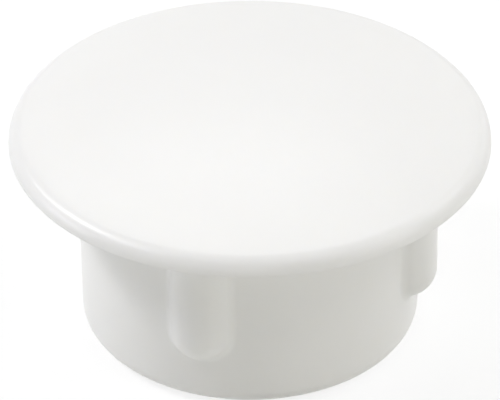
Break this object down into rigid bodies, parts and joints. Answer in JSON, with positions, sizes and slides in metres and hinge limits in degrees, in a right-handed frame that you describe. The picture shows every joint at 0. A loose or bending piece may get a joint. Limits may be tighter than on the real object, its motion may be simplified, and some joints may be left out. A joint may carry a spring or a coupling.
{
  "type": "screw cover cap",
  "caption": "Round cover cap for a screw hole in a panel: a low domed head on a short hollow stem with crush ribs that grip the drilled hole.",
  "frame": {"origin": "on the cap's axis, in the plane of the head's underside, which lies on the panel", "axes": "+Z along the axis, out of the panel through the head; the stem points along -Z; crush ribs stand on +X, +Y, -X and -Y"},
  "size_m": [0.013, 0.013, 0.0065],
  "materials": {
    "white_plastic": "smooth moulded polyethylene, satin gloss, slightly translucent at thin edges"
  },
  "bodies": {
    "root": {"cover_cap": "white_plastic"}
  },
  "joints": []
}
